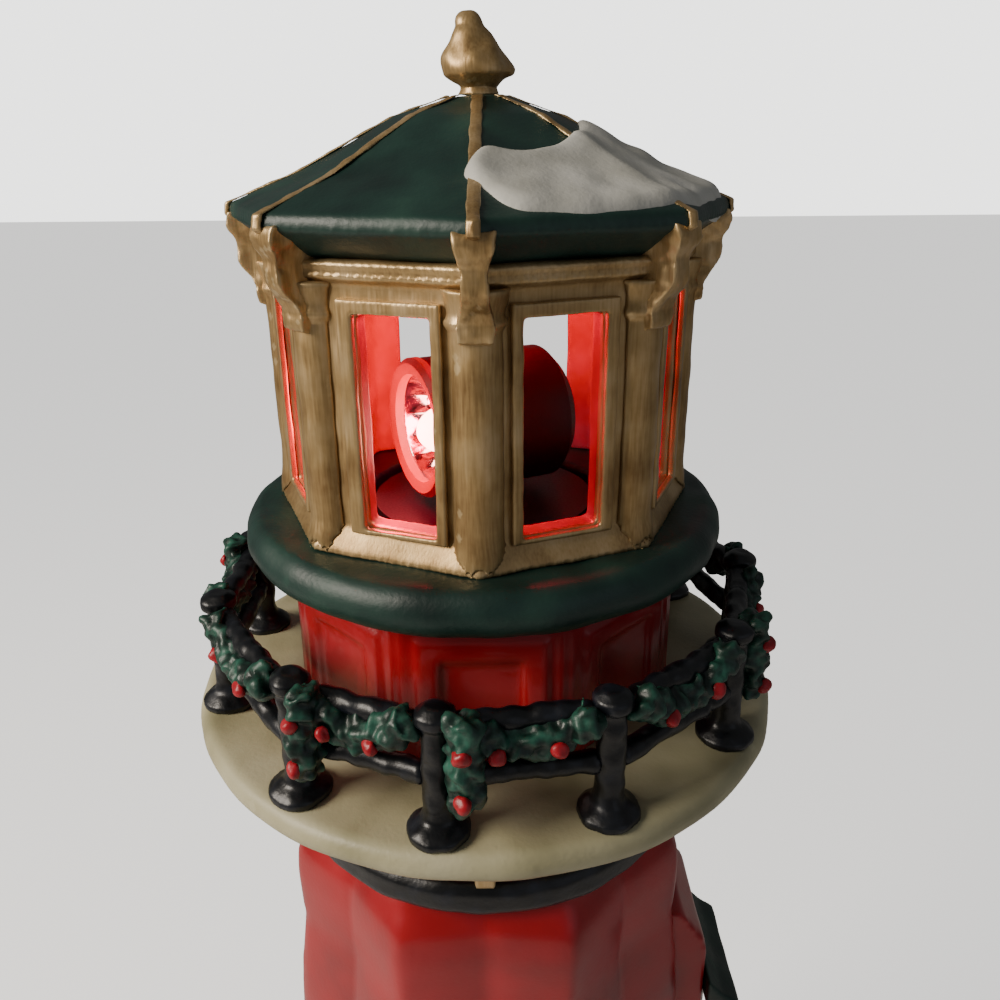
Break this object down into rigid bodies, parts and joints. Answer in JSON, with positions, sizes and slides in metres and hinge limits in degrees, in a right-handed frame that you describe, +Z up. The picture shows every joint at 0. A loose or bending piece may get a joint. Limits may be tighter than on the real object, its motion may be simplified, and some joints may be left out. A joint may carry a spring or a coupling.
{
  "type": "lighthouse ornament light",
  "caption": "Painted lighthouse ornament: octagonal tower, railed gallery with garland, open lantern with a turning beacon, and a snow-dusted roof.",
  "frame": {"origin": "on the ground under the middle of the tower", "axes": "+Z up, the front face and the front door look to -Y, +X to the right"},
  "size_m": [0.0814, 0.0814, 0.2359],
  "materials": {
    "gold_paint": "satin antique gold paint on the casting",
    "green_paint": "satin dark green paint",
    "snow_paint": "raised off-white snow paint",
    "red_paint": "glossy deep red paint",
    "cream_paint": "aged cream paint",
    "black_paint": "satin black paint",
    "garland_paint": "dark green with a lighter dry-brushed top",
    "berry_paint": "glossy red",
    "beacon_plastic": "dark red moulded housing",
    "reflector_chrome": "fluted bright reflector",
    "lamp_glow": "clear dome, lit",
    "steel": "plain steel",
    "brass": "turned brass",
    "white_plastic": "moulded white gears",
    "dark_plastic": "moulded dark plastic",
    "battery_sleeve": "plain sleeve, no lettering",
    "rubber": "soft feet"
  },
  "bodies": {
    "root": {"finial": "gold_paint", "roof": "green_paint", "roof_ribs": "gold_paint", "roof_snow": "snow_paint", "corner_brackets": "gold_paint", "lantern_frame": "gold_paint", "pilasters": "gold_paint", "window_trims": "gold_paint", "lantern_deck": "green_paint", "watch_room": "red_paint", "gallery_deck": "cream_paint", "railing_posts": "black_paint", "railing_rails": "black_paint", "garland": "garland_paint", "garland_berries": "berry_paint", "gallery_band": "black_paint", "corbels": "gold_paint", "tower": "red_paint", "bay": "red_paint", "bay_roof": "green_paint", "bay_window": "cream_paint", "front_door": "green_paint", "door_step": "snow_paint", "plinth": "green_paint", "base_plate": "dark_plastic", "base_screws": "steel", "rubber_feet": "rubber", "battery_box": "dark_plastic", "batteries": "battery_sleeve", "battery_contacts": "steel", "switch_body": "dark_plastic", "shaft_bush": "brass", "motor_plate": "dark_plastic", "plate_screws": "steel", "motor": "steel", "brush_block": "dark_plastic"},
    "beacon": {"beacon_housing": "beacon_plastic", "beacon_rim": "beacon_plastic", "beacon_reflector": "reflector_chrome", "beacon_lamp": "lamp_glow", "turntable": "beacon_plastic", "drive_shaft": "steel", "drive_gear": "white_plastic", "slip_rings": "brass"},
    "pinion": {"motor_pinion": "white_plastic"},
    "battery_door": {"battery_door": "dark_plastic"},
    "switch_slider": {"switch_slider": "dark_plastic"}
  },
  "joints": [
    {"name": "beacon_spin", "type": "hinge", "parent": "root", "child": "beacon", "pos_m": [0, 0, 0.1983], "axis": [0, 0, 1], "continuous": true},
    {"name": "motor_spin", "type": "hinge", "parent": "root", "child": "pinion", "pos_m": [0.0091, 0, 0.1832], "axis": [0, 0, 1], "continuous": true},
    {"name": "battery_door_slide", "type": "slide", "parent": "root", "child": "battery_door", "axis": [0, -1, 0], "range_m": [0, 0.004]},
    {"name": "power_switch", "type": "slide", "parent": "root", "child": "switch_slider", "axis": [1, 0, 0], "range_m": [0, 0.003]}
  ],
  "couplings": [
    {"joint": "motor_spin", "follows": "beacon_spin", "ratio": -3}
  ]
}
